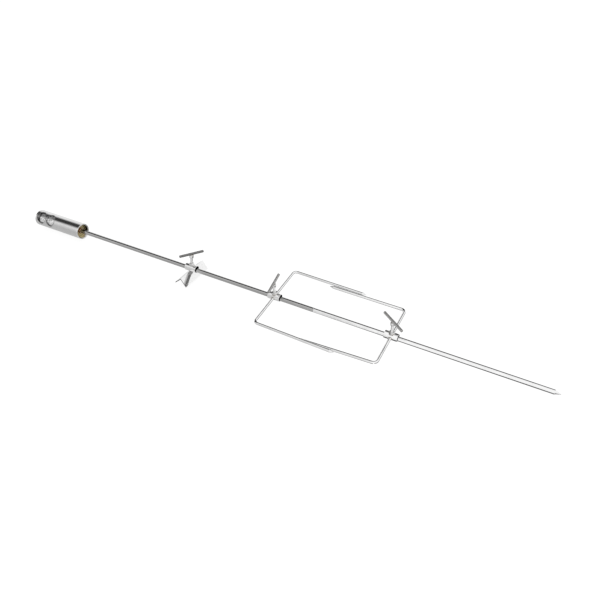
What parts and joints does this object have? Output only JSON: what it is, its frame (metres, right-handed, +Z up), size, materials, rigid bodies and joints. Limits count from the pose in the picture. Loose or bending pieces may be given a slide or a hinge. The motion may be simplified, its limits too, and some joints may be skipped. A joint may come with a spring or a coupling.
{
  "type": "rotisserie spit roaster",
  "caption": "Camp rotisserie spit: a battery motor in a steel tube turns a pointed two-piece rod that carries sliding meat forks and a folded plate, each clamped by a T-handled screw.",
  "frame": {"origin": "on the spit's axis inside the plain stretch of the motor tube, 36 mm behind its open end", "axes": "+X along the spit towards its point, +Z up on the side of the clamp screws, +Y to the far fork prongs"},
  "size_m": [1.2166, 0.1764, 0.067],
  "materials": {
    "tube_steel": "polished stainless tube, fine drawn lines",
    "spit_steel": "bright drawn stainless bar",
    "point_steel": "drawn stainless bar, polished bright up to its point",
    "wire_steel": "electropolished stainless wire",
    "clamp_steel": "turned stainless",
    "bar_steel": "drawn stainless, darker pickled finish",
    "nut_zinc": "bright plated steel",
    "mirror_steel": "mirror polished stainless strip",
    "spring_steel": "nickel plated spring wire",
    "cell_jacket": "metallised printed sleeve, plain",
    "cell_tip": "nickel plated cap",
    "contact_brass": "stamped brass",
    "black_plastic": "moulded, fine grain",
    "motor_zinc": "zinc plated drawn can",
    "bearing_bronze": "sintered bronze",
    "magnet_ferrite": "pressed ferrite",
    "rotor_iron": "stacked laminations",
    "copper": "copper alloy, slightly oxidised",
    "brush_carbon": "pressed carbon",
    "gear_brass": "hobbed brass",
    "yellow_zinc": "yellow passivated zinc plate"
  },
  "bodies": {
    "housing": {"motor_tube": "tube_steel", "battery_contact": "contact_brass", "contact_holder": "black_plastic", "motor_can": "motor_zinc", "motor_end_cap": "black_plastic", "motor_bearing": "bearing_bronze", "motor_magnets": "magnet_ferrite", "motor_brushes": "brush_carbon", "gearbox_back_plate": "yellow_zinc", "gearbox_case": "yellow_zinc", "gearbox_front_plate": "yellow_zinc", "gearbox_screws": "clamp_steel", "layshaft": "spit_steel", "layshaft_spacer": "gear_brass", "output_bush": "bearing_bronze"},
    "battery_door": {"battery_cap": "tube_steel", "battery_spring": "spring_steel"},
    "battery": {"battery_cell": "cell_jacket", "battery_terminal": "cell_tip"},
    "drive": {"output_hub": "copper", "output_gear": "gear_brass"},
    "motor_rotor": {"rotor_core": "rotor_iron", "rotor_shaft": "spit_steel", "commutator": "copper", "motor_pinion": "gear_brass"},
    "first_wheel": {"first_gear": "gear_brass"},
    "second_wheel": {"second_gear": "gear_brass"},
    "third_wheel": {"third_gear": "gear_brass"},
    "rear_spit": {"rear_rod": "spit_steel", "joint_stud": "clamp_steel"},
    "front_spit": {"front_rod": "point_steel"},
    "stop_clamp": {"stop_collar": "clamp_steel", "stop_nut": "nut_zinc", "stop_plate": "mirror_steel"},
    "stop_tightener": {"stop_screw": "clamp_steel", "stop_t_bar": "bar_steel"},
    "rear_fork": {"rear_fork_collar": "clamp_steel", "rear_fork_nut": "nut_zinc", "rear_fork_far_prong": "wire_steel", "rear_fork_near_prong": "wire_steel"},
    "rear_tightener": {"rear_fork_screw": "clamp_steel", "rear_fork_t_bar": "bar_steel"},
    "front_fork": {"front_fork_collar": "clamp_steel", "front_fork_nut": "nut_zinc", "front_fork_far_prong": "wire_steel", "front_fork_near_prong": "wire_steel"},
    "front_tightener": {"front_fork_screw": "clamp_steel", "front_fork_t_bar": "bar_steel"}
  },
  "joints": [
    {"name": "spit_spin", "type": "hinge", "parent": "housing", "child": "drive", "pos_m": [0, 0, 0], "axis": [1, 0, 0], "continuous": true},
    {"name": "rotor_spin", "type": "hinge", "parent": "housing", "child": "motor_rotor", "pos_m": [0, 0, 0], "axis": [1, 0, 0], "continuous": true},
    {"name": "first_gear_spin", "type": "hinge", "parent": "housing", "child": "first_wheel", "pos_m": [0.01, 0.0088, 0], "axis": [1, 0, 0], "continuous": true},
    {"name": "second_gear_spin", "type": "hinge", "parent": "housing", "child": "second_wheel", "pos_m": [0.014, 0, 0], "axis": [1, 0, 0], "continuous": true},
    {"name": "third_gear_spin", "type": "hinge", "parent": "housing", "child": "third_wheel", "pos_m": [0.018, 0.0088, 0], "axis": [1, 0, 0], "continuous": true},
    {"name": "cap_slide", "type": "slide", "parent": "housing", "child": "battery_door", "axis": [-1, 0, 0], "range_m": [0, 0.17]},
    {"name": "battery_slide", "type": "slide", "parent": "housing", "child": "battery", "axis": [-1, 0, 0], "range_m": [0, 0.085]},
    {"name": "spit_pull", "type": "slide", "parent": "drive", "child": "rear_spit", "axis": [1, 0, 0], "range_m": [0, 0.05]},
    {"name": "front_rod_unscrew", "type": "slide", "parent": "rear_spit", "child": "front_spit", "axis": [1, 0, 0], "range_m": [0, 0.04]},
    {"name": "stop_slide", "type": "slide", "parent": "rear_spit", "child": "stop_clamp", "axis": [1, 0, 0], "range_m": [-0.25, 0.05]},
    {"name": "rear_fork_slide", "type": "slide", "parent": "rear_spit", "child": "rear_fork", "axis": [1, 0, 0], "range_m": [-0.09, 0.03]},
    {"name": "front_fork_slide", "type": "slide", "parent": "front_spit", "child": "front_fork", "axis": [1, 0, 0], "range_m": [-0.04, 0.2]},
    {"name": "stop_screw_turn", "type": "hinge", "parent": "stop_clamp", "child": "stop_tightener", "pos_m": [0.351, 0, 0], "axis": [0, 0.2181, 0.9759], "range_deg": [0, 720]},
    {"name": "rear_fork_screw_turn", "type": "hinge", "parent": "rear_fork", "child": "rear_tightener", "pos_m": [0.5585, 0, 0], "axis": [0, -0.0349, 0.9994], "range_deg": [0, 720]},
    {"name": "front_fork_screw_turn", "type": "hinge", "parent": "front_fork", "child": "front_tightener", "pos_m": [0.811, 0, 0], "axis": [0, -0.0209, 0.9998], "range_deg": [0, 720]}
  ],
  "couplings": [
    {"joint": "third_gear_spin", "follows": "spit_spin", "ratio": -3},
    {"joint": "second_gear_spin", "follows": "spit_spin", "ratio": 9},
    {"joint": "first_gear_spin", "follows": "spit_spin", "ratio": -27},
    {"joint": "rotor_spin", "follows": "spit_spin", "ratio": 81},
    {"joint": "battery_slide", "follows": "cap_slide", "ratio": 0.5}
  ]
}
